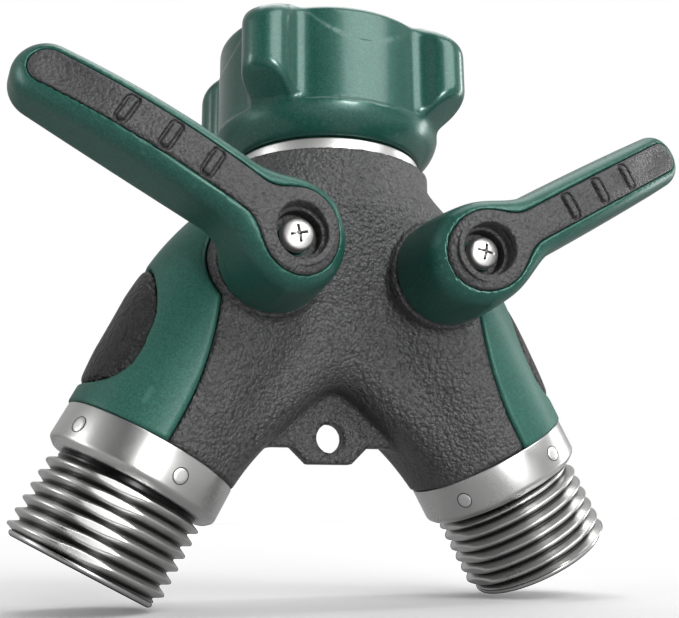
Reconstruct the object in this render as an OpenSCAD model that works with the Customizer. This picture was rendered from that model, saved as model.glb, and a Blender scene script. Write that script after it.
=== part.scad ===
// Two-way hose splitter: a swivel inlet nut, a forked body and two lever-operated ball valves.
// Millimetres, +Z up along the inlet. The origin is the centre of the nut's open face.
// Levers face -Y. The right half is drawn, and the left half is its mirror image.

/* [Fork] */
// Angle of each leg from the inlet axis
leg_angle = 28.2; // [24:0.1:34]
// Height of the point where the leg axes cross, below the nut's open face
fork_drop = 17.5; // [16:0.5:20]
// Radius of a leg beside its valve
leg_r = 15.7; // [15:0.1:17]
// Radius of the neck under the inlet
neck_r = 17.2; // [16:0.1:19]
// Distance along a leg from the crossing point to the outlet collar
leg_len = 65.6; // [62:0.1:70]

/* [Outlets] */
// Crest radius of the male 3/4-11.5 hose thread
thread_r = 13.45; // [13.4:0.01:13.5]
// Root radius of the male hose thread
thread_root_r = 12.1; // [11.9:0.05:12.3]
// Distance between neighbouring thread crests
pitch = 2.209; // [2.2:0.001:2.22]
// Number of thread crests on an outlet
crests = 6; // [5:1:6]
// Radius of an outlet collar
collar_r = 15; // [14.5:0.1:15.6]
// Height of an outlet collar
collar_h = 7; // [6:0.1:8]
// Length from the collar to the end of the outlet
spigot_len = 15; // [14.6:0.1:16]
// Radius of the water way through an outlet
outlet_bore_r = 8.5; // [7:0.1:9]
// Number of round pins that lock a collar
collar_pins = 5; // [3:1:5]

/* [Inlet nut] */
// Radius of the nut at the tips of its four lobes
nut_tip_r = 27.3; // [26:0.1:28]
// Radius of the nut at the middle of a hollow face
nut_waist_r = 18; // [17:0.1:19]
// Height of the nut
nut_h = 23.2; // [22.5:0.1:24]
// Minor radius of the female 3/4-11.5 hose thread
inlet_r = 12.2; // [12.1:0.01:12.25]
// Length of the female thread
inlet_thread_len = 13; // [12:0.1:13.4]
// Radius of the neck of the tailpiece that the nut turns on
tail_r = 10; // [9.5:0.1:10.5]

/* [Valves] */
// Distance along a leg from the crossing point to the valve
valve_s = 32.5; // [31:0.5:34]
// Radius of a ball
ball_r = 9; // [8.5:0.1:9.5]
// Radius of the hole through a ball
port_r = 5.5; // [4:0.1:6]
// Radius of the round boss under a lever
boss_r = 9.45; // [9:0.05:10]
// Distance of the boss face from the leg axes
boss_face = 17; // [16.5:0.1:18]

/* [Levers] */
// Distance from a valve axis to the tip of its lever
lever_len = 46; // [40:1:50]
// Radius of a lever's hub
hub_r = 8.5; // [8:0.1:9]
// Distance of a lever's outer face from the leg axes
lever_face = 36; // [34:0.5:38]
// Half the width of a lever's soft inlay
inlay_half_w = 2.65; // [2.2:0.05:3]
// Radius of the recess for the lever screw
recess_r = 4.2; // [3.8:0.1:4.4]

/* [Hidden] */

black = [0.1, 0.1, 0.105];
green = [0.05, 0.3, 0.24];
aluminium = [0.78, 0.78, 0.78];
steel = [0.85, 0.85, 0.83];
rubber = [0.06, 0.06, 0.06];
ptfe = [0.93, 0.93, 0.9];

$fn = 96;
hull_fn = 32;
cut = 1;
running_gap = 0.06;
body_gap = 0.3;

// Inlet, heights below the nut's open face
washer_h = 2.6;
washer_top = -inlet_thread_len - 0.5;
flange_top = washer_top - washer_h;
flange_h = 2;
flange_r = 12;
slip_h = 0.4;
shoulder_top = flange_top - flange_h - slip_h - 0.1;
ring_top = -nut_h - body_gap;
ring_h = 2.3;
neck_top = ring_top - ring_h;
tail_bore_r = 7.6;
tail_end = -fork_drop - 13.5;
tail_oring_z = -28.2;
bell_r = 20.7;
bell_z = -16;
lobe_r = 4.5;
hollow_r = 20;
lobe_top_drop = 3.2;
lobe_foot_z = -12.5;

// Fork, distances along a leg
chamber_r = 10.5;
chamber_start = valve_s - 11;
port_start = 17;
web_half_t = 12.5;
web_end = 54;
arch_drop = 47.8;
arch_r = 12;
leg_end_r = collar_r;
leg_wall_in = 13;
pad_wall_in = 14.3;
throat_r = 7.6;
junction_r = 8.5;
neck_body_h = 14;
leg_top_s = 6;
leg_top_h = 9;

// Hanging tab, below the crossing point
tab_half_t = 1.5;
tab_hole_r = 2.55;
tab_hole_z = -55.7;
tab_bottom = -60.2;
tab_shoulder = -57.3;

// Outlet insert
insert_start = valve_s + 10.4;
oring_s = 59;
oring_minor = 0.95;
crest_flat = 0.45;
first_crest = leg_len + collar_h + 2.35;
pin_r = 1.25;
pin_s = leg_len + 3.4;
left_pin_angle = 0;
right_pin_angle = 36;

// Valve, distances outward from the leg axis
slot_floor = 7.2;
stem_flange_r = 5;
stem_r = 3.5;
flange_in = 9.2;
flange_out = 11.2;
gland_in = 14.2;
gland_out = boss_face + 0.2;
gland_r = 7;
square_w = 5;
square_in = 20;
square_out = 26;
head_seat = 28.4;
screw_r = 1.25;
screw_len = 9;
head_r = 2.4;
head_h = 1.8;
hub_foot = boss_face + 0.5;
recess_floor_d = lever_face - 3;
dish_r = recess_r + 1;
inlay_ring_r = dish_r + 0.9;
inlay_t = 1.2;
inlay_proud = 0.2;
inlay_end = lever_len - 1.4;
tip_face = lever_face - 4.8;
arm_start = 6;
arm_start_face = lever_face - 0.4;
arm_slope = atan((arm_start_face - tip_face) / (lever_len - 4.3 - arm_start));
rib_len = 4;
rib_w = 0.7;
rib_h = 0.55;
rib_first = 10.2;
rib_step = 7;

// A leg's frame: +Z runs down the leg to the outlet, -Y is the front and -X the outer flank.
module at_leg() {
    translate([0, 0, -fork_drop]) rotate([0, 180 - leg_angle, 0]) children();
}

// A valve's frame inside its leg's frame: +Z runs outward to the lever, +X to the lever's tip.
module at_valve() {
    at_leg() translate([0, 0, valve_s]) rotate([0, 0, 180]) rotate([-90, 0, 0]) children();
}

module left() {
    mirror([1, 0, 0]) children();
}

module tube(r, bore, h) {
    difference() {
        cylinder(r = r, h = h);
        translate([0, 0, -cut]) cylinder(r = bore, h = h + 2 * cut);
    }
}

module oring(r, minor) {
    rotate_extrude() translate([r, 0]) circle(r = minor, $fn = 24);
}

// The front outline of a side grip in a leg's frame, outward and along the leg. Its inner edge
// is a parabola that leaves the leg's centre line near the collar.
function grip_edge(s) = -0.4 + 4 * pow(max(0, 62 - s) / 20, 2);

function grip_outline() = concat([for (s = [leg_len : -4 : 24]) [grip_edge(s), s]],
    [[20, 22], [20, leg_len]]);

module grip_prism() {
    rotate([90, 0, 0]) mirror([1, 0, 0]) linear_extrude(height = 60, center = true)
        polygon(grip_outline());
}

module grip_sleeve() {
    difference() {
        cylinder(r1 = leg_r + 0.3, r2 = leg_end_r, h = leg_len);
        translate([0, 0, -cut]) cylinder(r = leg_wall_in, h = leg_len + 2 * cut);
    }
}

module pad_prism() {
    translate([0, 0, 50.7]) rotate([0, -90, 0]) scale([11.2, 11.2, 1])
        cylinder(r = 1, h = 30);
}

module leg_outside() {
    intersection() {
        cylinder(r1 = leg_r + 0.3, r2 = leg_end_r, h = leg_len);
        union() {
            translate([0, 0, leg_top_s]) cylinder(r1 = leg_r - 5, r2 = leg_r + 4, h = leg_top_h);
            translate([0, 0, leg_top_s + leg_top_h - 0.1]) cylinder(r = leg_r + 4, h = leg_len);
        }
    }
}

module leg_inside() {
    translate([0, 0, port_start]) cylinder(r = port_r, h = chamber_start - port_start + cut);
    translate([0, 0, chamber_start]) cylinder(r = chamber_r, h = leg_len);
    intersection() {
        tube(30, leg_wall_in, leg_len + cut);
        grip_prism();
    }
}

module boss_inside() {
    cylinder(r = stem_flange_r + running_gap, h = boss_face + cut);
    translate([0, 0, gland_in]) cylinder(r = gland_r, h = boss_face);
}

// A web fills the fork between the legs, with an arched lower edge.
module fork_web() {
    translate([0, 0, -fork_drop]) rotate([90, 0, 0])
        linear_extrude(height = 2 * web_half_t, center = true) difference() {
            polygon([[-13, -11], [13, -11], [web_end * tan(leg_angle), -web_end],
                [-web_end * tan(leg_angle), -web_end]]);
            translate([0, -arch_drop - arch_r]) circle(r = arch_r);
        }
}

module tab() {
    translate([0, 0, -fork_drop]) rotate([90, 0, 0])
        linear_extrude(height = 2 * tab_half_t, center = true)
            polygon([[-12, tab_shoulder + 10], [-10.3, tab_shoulder], [-7, tab_shoulder],
                [-4, tab_bottom], [4, tab_bottom], [7, tab_shoulder], [10.3, tab_shoulder],
                [12, tab_shoulder + 10]]);
}

module body_casting() {
    color(black) difference() {
        union() {
            translate([0, 0, neck_top - neck_body_h]) cylinder(r = neck_r, h = neck_body_h);
            fork_web();
            tab();
            for (side = [0, 1]) mirror([side, 0, 0]) {
                at_leg() leg_outside();
                at_valve() cylinder(r = boss_r, h = boss_face);
            }
        }
        translate([0, 0, tail_end]) cylinder(r = tail_r, h = 40);
        translate([0, 0, neck_top]) cylinder(r = 40, h = 40);
        translate([0, 0, tail_end - 6]) cylinder(r = throat_r, h = 7);
        translate([0, 0, tail_end - 7]) sphere(r = junction_r);
        for (side = [0, 1]) mirror([side, 0, 0]) {
            at_leg() leg_inside();
            at_valve() boss_inside();
        }
        translate([0, 0, tab_hole_z - fork_drop]) rotate([90, 0, 0])
            cylinder(r = tab_hole_r, h = 20, center = true);
    }
}

module neck_ring() {
    color(aluminium) translate([0, 0, neck_top]) tube(neck_r - 0.1, tail_r, ring_h);
}

module inlet_tailpiece() {
    color(aluminium) difference() {
        union() {
            translate([0, 0, tail_end]) cylinder(r = tail_r, h = flange_top - tail_end);
            translate([0, 0, flange_top - flange_h]) cylinder(r = flange_r, h = flange_h);
        }
        translate([0, 0, tail_end - cut]) cylinder(r = tail_bore_r, h = 40);
        translate([0, 0, tail_oring_z]) oring(tail_r, oring_minor);
    }
}

module inlet_oring() {
    color(rubber) intersection() {
        translate([0, 0, tail_oring_z]) oring(tail_r, oring_minor);
        translate([0, 0, neck_top - 10]) cylinder(r = tail_r, h = 10);
    }
}

module slip_washer() {
    color(ptfe) translate([0, 0, flange_top - flange_h - slip_h])
        tube(flange_r - 0.2, tail_r, slip_h);
}

module inlet_washer() {
    color(rubber) translate([0, 0, flange_top]) tube(flange_r, tail_bore_r + 0.5, washer_h);
}

// Female thread drawn as rings: its crests are true cylinders at the minor radius.
module thread_rings() {
    rotate_extrude() for (i = [0 : 5])
        translate([0, -1.1 - i * pitch])
            polygon([[0, 0.9], [inlet_r, 0.9], [inlet_r + 1.2, 0.25], [inlet_r + 1.2, -0.25],
                [inlet_r, -0.9], [0, -0.9]]);
}

// A nut's plan: four round lobes joined by hollow faces.
module nut_plan() {
    difference() {
        hull() for (a = [45 : 90 : 315]) rotate(a) translate([nut_tip_r - lobe_r, 0])
            circle(r = lobe_r, $fn = hull_fn);
        for (a = [0 : 90 : 270]) rotate(a) translate([nut_waist_r + hollow_r, 0])
            circle(r = hollow_r);
    }
}

module swivel_nut() {
    color(green) difference() {
        union() {
            intersection() {
                translate([0, 0, bell_z - 2]) linear_extrude(height = 2 - bell_z) nut_plan();
                rotate_extrude() polygon([[0, bell_z - 3], [bell_r - 0.8, bell_z - 3],
                    [nut_tip_r + 0.1, lobe_foot_z], [nut_tip_r + 0.1, -lobe_top_drop],
                    [bell_r, 0], [0, 0]]);
            }
            rotate_extrude() polygon([[0, -nut_h], [neck_r + 0.1, -nut_h],
                [bell_r - 1, -nut_h + 3], [bell_r - 0.1, bell_z], [nut_waist_r - 0.6, bell_z + 4],
                [0, bell_z + 4]]);
        }
        translate([0, 0, -inlet_thread_len]) cylinder(r = inlet_r, h = 40);
        thread_rings();
        translate([0, 0, shoulder_top]) cylinder(r = flange_r + 0.4,
            h = -inlet_thread_len - shoulder_top + 0.01);
        translate([0, 0, -40]) cylinder(r = tail_r + running_gap, h = 40);
    }
}

module side_grip() {
    color(green) at_leg() difference() {
        intersection() {
            grip_sleeve();
            grip_prism();
        }
        pad_pocket();
        rotate([0, 0, 180]) translate([0, 0, valve_s]) rotate([-90, 0, 0])
            cylinder(r = boss_r, h = 40);
    }
}

module pad_pocket() {
    intersection() {
        pad_prism();
        difference() {
            cylinder(r = 30, h = leg_len);
            cylinder(r = pad_wall_in, h = leg_len);
        }
    }
}

module grip_pad() {
    color(rubber) at_leg() intersection() {
        pad_prism();
        difference() {
            cylinder(r1 = leg_r + 0.7, r2 = leg_end_r + 0.4, h = leg_len);
            cylinder(r = pad_wall_in, h = leg_len);
        }
    }
}

// One crest of the male thread, as an outline outward from the root.
function crest_points(s) = [[thread_root_r, s - 0.95], [thread_r, s - crest_flat / 2],
    [thread_r, s + crest_flat / 2], [thread_root_r, s + 0.95]];

module outlet(pin_angle) {
    collar_end = leg_len + collar_h;
    color(aluminium) at_leg() difference() {
        union() {
            translate([0, 0, insert_start]) cylinder(r = chamber_r, h = leg_len - insert_start + 1);
            translate([0, 0, leg_len]) cylinder(r = collar_r, h = collar_h - 1);
            translate([0, 0, collar_end - 1]) cylinder(r1 = collar_r, r2 = collar_r - 1, h = 1);
            translate([0, 0, collar_end - 1]) cylinder(r = thread_root_r, h = spigot_len + 1);
            rotate_extrude() for (i = [0 : crests - 1]) polygon(crest_points(first_crest + i * pitch));
        }
        translate([0, 0, insert_start - cut]) cylinder(r = outlet_bore_r, h = 100);
        translate([0, 0, oring_s]) oring(chamber_r, oring_minor);
        pin_bodies(pin_angle);
    }
}

module pin_bodies(pin_angle) {
    for (i = [0 : collar_pins - 1]) rotate([0, 0, pin_angle + i * 360 / collar_pins])
        translate([0, 0, pin_s]) rotate([0, 90, 0])
            translate([0, 0, collar_r - 4]) cylinder(r = pin_r, h = 4.1);
}

module outlet_pins(pin_angle) {
    color(steel) at_leg() pin_bodies(pin_angle);
}

module outlet_oring() {
    color(rubber) at_leg() intersection() {
        translate([0, 0, oring_s]) oring(chamber_r, oring_minor);
        cylinder(r = chamber_r, h = leg_len);
    }
}

module ball() {
    color(steel) at_valve() difference() {
        sphere(r = ball_r);
        rotate([0, 90, 0]) cylinder(r = port_r, h = 40, center = true);
        translate([-20, -1.5, slot_floor]) cube([40, 3, 20]);
    }
}

module ball_seats() {
    color(ptfe) at_leg() translate([0, 0, valve_s]) for (side = [0, 1]) mirror([0, 0, side])
        difference() {
            translate([0, 0, 6.2]) cylinder(r = chamber_r, h = 4.1);
            cylinder(r = port_r + 0.4, h = 20);
            sphere(r = ball_r + running_gap);
        }
}

module stem() {
    color(steel) at_valve() difference() {
        union() {
            intersection() {
                translate([-4.5, -1.5, slot_floor]) cube([9, 3, 3]);
                cylinder(r = stem_flange_r, h = 20);
            }
            translate([0, 0, flange_in]) cylinder(r = stem_flange_r, h = flange_out - flange_in);
            cylinder(r = stem_r, h = square_in);
            translate([-square_w / 2, -square_w / 2, square_in - 1])
                cube([square_w, square_w, square_out - square_in + 1]);
        }
        cylinder(r = 20, h = slot_floor);
        translate([-20, 1.5, 0]) cube([40, 20, flange_in]);
        translate([-20, -21.5, 0]) cube([40, 20, flange_in]);
        translate([0, 0, head_seat - screw_len]) cylinder(r = screw_r, h = 20);
    }
}

module stem_orings() {
    color(rubber) at_valve() for (i = [0, 1])
        translate([0, 0, flange_out + 0.8 + 1.45 * i]) oring(stem_r + 0.72, 0.7);
}

module stem_gland() {
    color(steel) at_valve() translate([0, 0, gland_in])
        tube(gland_r, stem_r + running_gap, gland_out - gland_in);
}

// The arm's outer face slopes towards the body on its way to the tip.
module lever_arm() {
    hull() {
        translate([arm_start, 0, 24]) cylinder(r1 = 5.4, r2 = 3.5, h = arm_start_face - 24,
            $fn = hull_fn);
        translate([lever_len - 4.3, 0, tip_face - 9.7])
            cylinder(r1 = 4.3, r2 = 3.4, h = 9.7, $fn = hull_fn);
    }
}

// The inlay's strip lies in the arm's sloping face, from the hub to a round end.
module inlay_strip(h) {
    translate([arm_start, 0, arm_start_face]) rotate([0, arm_slope, 0]) translate([-2, 0, -inlay_t]) {
        translate([0, -inlay_half_w, 0]) cube([inlay_end - 4 - inlay_half_w, 2 * inlay_half_w, h]);
        translate([inlay_end - 4 - inlay_half_w, 0, 0]) cylinder(r = inlay_half_w, h = h);
    }
}

// The soft inlay: a cup round the screw, a ring on the hub and a strip along the arm.
module inlay_body(h) {
    difference() {
        union() {
            translate([0, 0, head_seat]) cylinder(r = dish_r, h = lever_face - head_seat);
            translate([0, 0, lever_face - inlay_t]) cylinder(r = inlay_ring_r, h = h);
            inlay_strip(h);
        }
        translate([0, 0, head_seat - cut]) cylinder(r = recess_r, h = 20);
        translate([0, 0, recess_floor_d]) cylinder(r1 = recess_r, r2 = dish_r + 0.1, h = 3.5);
    }
}

module lever() {
    color(green) at_valve() difference() {
        union() {
            translate([0, 0, hub_foot]) cylinder(r = hub_r, h = 11);
            translate([0, 0, hub_foot + 11])
                cylinder(r1 = hub_r, r2 = inlay_ring_r + 0.4, h = lever_face - hub_foot - 11);
            lever_arm();
        }
        translate([0, 0, hub_foot - cut]) cylinder(r = stem_r + 0.4, h = square_in - hub_foot + cut);
        translate([-square_w / 2, -square_w / 2, hub_foot]) cube([square_w, square_w,
            square_out - hub_foot]);
        translate([0, 0, square_out - cut]) cylinder(r = screw_r, h = 20);
        translate([0, 0, head_seat]) cylinder(r = dish_r, h = 20);
        translate([0, 0, lever_face - inlay_t]) cylinder(r = inlay_ring_r, h = 10);
        inlay_strip(inlay_t + 4);
    }
}

module lever_inlay() {
    color(rubber) at_valve() {
        inlay_body(inlay_t + inlay_proud);
        translate([arm_start, 0, arm_start_face]) rotate([0, arm_slope, 0]) for (i = [0 : 2])
            translate([rib_first + rib_step * i, -rib_len / 2, 0]) cube([rib_w, rib_len, rib_h]);
    }
}

module lever_screw() {
    color(steel) at_valve() difference() {
        union() {
            translate([0, 0, head_seat - screw_len]) cylinder(r = screw_r, h = screw_len + 0.1);
            translate([0, 0, head_seat]) cylinder(r = head_r, h = head_h - 0.6);
            translate([0, 0, head_seat + head_h - 0.6]) cylinder(r1 = head_r, r2 = 1.4, h = 0.6);
        }
        for (a = [0, 90]) rotate([0, 0, a]) translate([-1.4, -0.3, head_seat + 0.5])
            cube([2.8, 0.6, 5]);
    }
}

body_casting();
neck_ring();
inlet_tailpiece();
inlet_oring();
swivel_nut();
slip_washer();
inlet_washer();
left() side_grip();  // left_side_grip
side_grip();  // right_side_grip
left() grip_pad();  // left_grip_pad
grip_pad();  // right_grip_pad
left() outlet(left_pin_angle);  // left_outlet
outlet(right_pin_angle);  // right_outlet
left() outlet_pins(left_pin_angle);  // left_outlet_pins
outlet_pins(right_pin_angle);  // right_outlet_pins
left() outlet_oring();  // left_outlet_oring
outlet_oring();  // right_outlet_oring
left() ball();  // left_ball
ball();  // right_ball
left() ball_seats();  // left_ball_seats
ball_seats();  // right_ball_seats
left() stem();  // left_stem
stem();  // right_stem
left() stem_orings();  // left_stem_orings
stem_orings();  // right_stem_orings
left() stem_gland();  // left_stem_gland
stem_gland();  // right_stem_gland
left() lever();  // left_lever
lever();  // right_lever
left() lever_inlay();  // left_lever_inlay
lever_inlay();  // right_lever_inlay
left() lever_screw();  // left_lever_screw
lever_screw();  // right_lever_screw
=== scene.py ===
"""Looks of a two-way garden hose splitter with lever valves and a swivel inlet nut.

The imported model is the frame. Every piece here is built in millimetres in the frame's axes
and stored in metres, so it lies where the model says.
"""

import logging
import math
from dataclasses import dataclass, field
from enum import Enum
from typing import Callable

import bpy
import numpy as np
from mathutils import Matrix, Vector


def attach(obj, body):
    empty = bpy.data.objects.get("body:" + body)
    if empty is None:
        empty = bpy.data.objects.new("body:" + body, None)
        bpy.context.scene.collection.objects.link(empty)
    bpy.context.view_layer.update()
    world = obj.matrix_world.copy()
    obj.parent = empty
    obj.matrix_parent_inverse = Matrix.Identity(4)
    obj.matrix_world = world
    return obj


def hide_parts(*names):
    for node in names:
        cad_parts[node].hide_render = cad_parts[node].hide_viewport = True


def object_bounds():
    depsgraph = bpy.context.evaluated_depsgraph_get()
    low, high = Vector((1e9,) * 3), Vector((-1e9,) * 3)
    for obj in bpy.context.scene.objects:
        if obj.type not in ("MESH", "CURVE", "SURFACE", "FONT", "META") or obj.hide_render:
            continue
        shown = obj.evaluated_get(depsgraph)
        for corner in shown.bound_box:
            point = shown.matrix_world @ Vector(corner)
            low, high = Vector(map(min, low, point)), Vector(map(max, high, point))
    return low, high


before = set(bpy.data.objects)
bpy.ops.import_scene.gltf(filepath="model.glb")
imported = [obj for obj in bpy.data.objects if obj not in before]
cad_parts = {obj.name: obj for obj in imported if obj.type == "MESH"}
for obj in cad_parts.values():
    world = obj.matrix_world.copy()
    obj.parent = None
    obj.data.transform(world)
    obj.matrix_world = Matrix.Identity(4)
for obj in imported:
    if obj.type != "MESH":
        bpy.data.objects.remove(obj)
CAD_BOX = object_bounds()
LOG = logging.getLogger("hose_splitter")

MM = 0.001
FORK_DROP = 17.5
LEG_ANGLE = math.radians(28.2)
THREAD_PITCH = 2.209
SHARP_ANGLE = math.radians(38)
Array = np.ndarray
Field = Callable[[Array, Array, Array], Array]


class Side(Enum):
    """The two halves of the splitter, seen from the lever side."""

    LEFT = -1
    RIGHT = 1

    @property
    def word(self) -> str:
        """The side's name, as the model's nodes spell it."""
        return self.name.lower()


class Slot(Enum):
    """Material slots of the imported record."""

    COAT = "black_coat"
    PAINT = "green_paint"
    ALUMINIUM = "satin_aluminium"
    GRIP = "soft_grip"
    SEAL = "seal_rubber"
    PIN = "pin_steel"
    SCREW = "screw_steel"


# ---------------------------------------------------------------- shaping


def join(a: Array, b: Array, soft: float) -> Array:
    """Union of two distance fields with a fillet.

    Args:
        a: Distances to the first shape, negative inside.
        b: Distances to the second shape.
        soft: Width of the fillet in millimetres.

    Returns:
        Distances to the joined shape.
    """
    blend = np.maximum(soft - np.abs(a - b), 0.0) / soft
    return np.minimum(a, b) - blend * blend * soft / 4


def trim(a: Array, b: Array, soft: float) -> Array:
    """Intersection of two distance fields with a rounded edge.

    Args:
        a: Distances to the first shape.
        b: Distances to the second shape.
        soft: Width of the rounding in millimetres.

    Returns:
        Distances to what both shapes share.
    """
    return -join(-a, -b, soft)


def carve(a: Array, b: Array, soft: float) -> Array:
    """The first field without the second, with a rounded edge.

    Args:
        a: Distances to the body.
        b: Distances to the tool.
        soft: Width of the rounding in millimetres.

    Returns:
        Distances to the carved body.
    """
    return trim(a, -b, soft)


def span(value: Array, low: float, high: float) -> Array:
    """Distances to a slab between two parallel planes.

    Args:
        value: Coordinate across the slab.
        low: Lower plane.
        high: Upper plane.

    Returns:
        Distances, negative between the planes.
    """
    return np.maximum(low - value, value - high)


@dataclass
class Shell:
    """Vertices in millimetres and faces of one closed surface."""

    points: Array
    faces: Array | list
    crisp: bool = False


class Skin:
    """Turns a distance field into a smooth quad mesh."""

    CORNERS = np.array([[i, j, k] for i in (0, 1) for j in (0, 1) for k in (0, 1)])
    EDGES = [(a, b) for a in range(8) for b in range(a + 1, 8)
             if bin(a ^ b).count("1") == 1]

    def __init__(self, shape: Field, low: tuple, high: tuple, step: float) -> None:
        """Keeps the field and the lattice it is sampled on.

        Args:
            shape: Distance field, negative inside.
            low: Lowest corner of the lattice.
            high: Highest corner of the lattice.
            step: Lattice spacing in millimetres.
        """
        self.shape = shape
        self.low = np.array(low, float)
        self.step = step
        self.count = np.ceil((np.array(high) - self.low) / step).astype(int) + 1

    def shell(self, polish: int = 3) -> Shell:
        """Builds the surface.

        Args:
            polish: How often the points are moved onto the field's surface.

        Returns:
            The surface, with its faces turned outward.
        """
        axes = [self.low[i] + self.step * np.arange(self.count[i]) for i in range(3)]
        values = self.shape(*np.meshgrid(*axes, indexing="ij"))
        inside = values < 0
        size = self.count - 1
        total = np.zeros(size, np.int8)
        for i, j, k in self.CORNERS:
            total += inside[i:size[0] + i, j:size[1] + j, k:size[2] + k]
        active = (total > 0) & (total < 8)
        cells = np.argwhere(active)
        number = np.full(active.shape, -1)
        number[active] = np.arange(len(cells))
        points = self._cell_points(values, cells)
        for _ in range(polish):
            points = self._settle(points)
        return Shell(points, self._quads(inside, number))

    def _cell_points(self, values: Array, cells: Array) -> Array:
        """Places one point in each cell that the surface crosses.

        Args:
            values: The sampled field.
            cells: Lattice indices of the crossed cells.

        Returns:
            One point per cell, in millimetres.
        """
        corner = np.stack([values[tuple((cells + c).T)] for c in self.CORNERS], 1)
        total = np.zeros((len(cells), 3))
        hits = np.zeros(len(cells))
        for a, b in self.EDGES:
            va, vb = corner[:, a], corner[:, b]
            cross = (va < 0) != (vb < 0)
            part = np.where(cross, va / np.where(cross, va - vb, 1.0), 0.0)
            spot = self.CORNERS[a] + part[:, None] * (self.CORNERS[b] - self.CORNERS[a])
            total += np.where(cross[:, None], spot, 0.0)
            hits += cross
        return self.low + self.step * (cells + total / hits[:, None])

    def _settle(self, points: Array) -> Array:
        """Moves points onto the surface along the field's slope.

        Args:
            points: Points near the surface.

        Returns:
            The same points, closer to the surface.
        """
        reach = 0.02
        value = self.shape(*points.T)
        slope = np.empty_like(points)
        for axis in range(3):
            ahead = points.copy()
            behind = points.copy()
            ahead[:, axis] += reach
            behind[:, axis] -= reach
            slope[:, axis] = (self.shape(*ahead.T) - self.shape(*behind.T)) / (2 * reach)
        steep = np.maximum((slope ** 2).sum(1), 0.05)
        move = -(value / steep)[:, None] * slope
        return points + np.clip(move, -0.4 * self.step, 0.4 * self.step)

    def _quads(self, inside: Array, number: Array) -> Array:
        """Joins the cell points round every lattice edge that the surface crosses.

        Args:
            inside: Whether each lattice node is inside.
            number: The point number of each cell.

        Returns:
            Quads as rows of four point numbers.
        """
        found = []
        for axis in range(3):
            b_axis, c_axis = (axis + 1) % 3, (axis + 2) % 3
            near = np.take(inside, range(inside.shape[axis] - 1), axis)
            far = np.take(inside, range(1, inside.shape[axis]), axis)
            nodes = np.argwhere(near != far)
            keep = (nodes[:, b_axis] > 0) & (nodes[:, c_axis] > 0)
            keep &= nodes[:, b_axis] < self.count[b_axis] - 1
            keep &= nodes[:, c_axis] < self.count[c_axis] - 1
            nodes = nodes[keep]
            b_step, c_step = np.eye(3, dtype=int)[b_axis], np.eye(3, dtype=int)[c_axis]
            ring = [nodes - b_step - c_step, nodes - c_step, nodes, nodes - b_step]
            quad = np.stack([number[tuple(r.T)] for r in ring], 1)
            outward = near[tuple(nodes.T)]
            found.append(np.where(outward[:, None], quad, quad[:, ::-1]))
        return np.concatenate(found)


def turned(rows: Callable[[Array], Array], segments: int) -> Shell:
    """Sweeps a closed outline round the Z axis.

    Args:
        rows: Gives the radius and height of every outline point at each of some angles.
        segments: Steps round the axis.

    Returns:
        A ring-shaped surface with its faces turned outward.
    """
    angles = np.linspace(0, 2 * math.pi, segments, endpoint=False)
    outline = rows(angles)
    radius, height = outline[..., 0], outline[..., 1]
    x = radius * np.cos(angles)[:, None]
    y = radius * np.sin(angles)[:, None]
    points = np.stack([x, y, height], -1).reshape(-1, 3)
    n = outline.shape[1]
    a, i = np.meshgrid(np.arange(segments), np.arange(n), indexing="ij")
    b, j = (a + 1) % segments, (i + 1) % n
    quads = np.stack([a * n + i, b * n + i, b * n + j, a * n + j], -1).reshape(-1, 4)
    return Shell(points, quads, crisp=True)


def lathe(outline: list[tuple[float, float]], segments: int = 160) -> Shell:
    """Turns a closed outline of radius and height into a ring.

    Args:
        outline: Points that run counter-clockwise in the radius-height plane.
        segments: Steps round the axis.

    Returns:
        The turned surface.
    """
    points = np.array(outline, float)
    return turned(lambda angles: np.broadcast_to(points, (len(angles), *points.shape)), segments)


def off_crest(turn: Array) -> Array:
    """How far a spot is from the nearest thread crest: 0 on it, 1 in the root."""
    return np.abs((turn + 0.5) % 1.0 - 0.5) * 2


def rounded(outline: list[tuple[float, float, float]], steps: int = 5) -> list[tuple]:
    """Rounds the corners of a closed outline.

    Args:
        outline: Corners as radius, height and corner radius.
        steps: Points on each rounded corner.

    Returns:
        The outline with an arc in place of each corner.
    """
    result = []
    for i, (x, y, r) in enumerate(outline):
        here = np.array([x, y])
        before = np.array(outline[i - 1][:2]) - here
        after = np.array(outline[(i + 1) % len(outline)][:2]) - here
        reach_in = min(r, 0.45 * np.linalg.norm(before))
        reach_out = min(r, 0.45 * np.linalg.norm(after))
        start = here + before / np.linalg.norm(before) * reach_in
        end = here + after / np.linalg.norm(after) * reach_out
        for t in np.linspace(0, 1, steps if r > 0 else 1):
            result.append(tuple((1 - t) ** 2 * start + 2 * t * (1 - t) * here + t * t * end))
    return result


# ---------------------------------------------------------------- places


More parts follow.
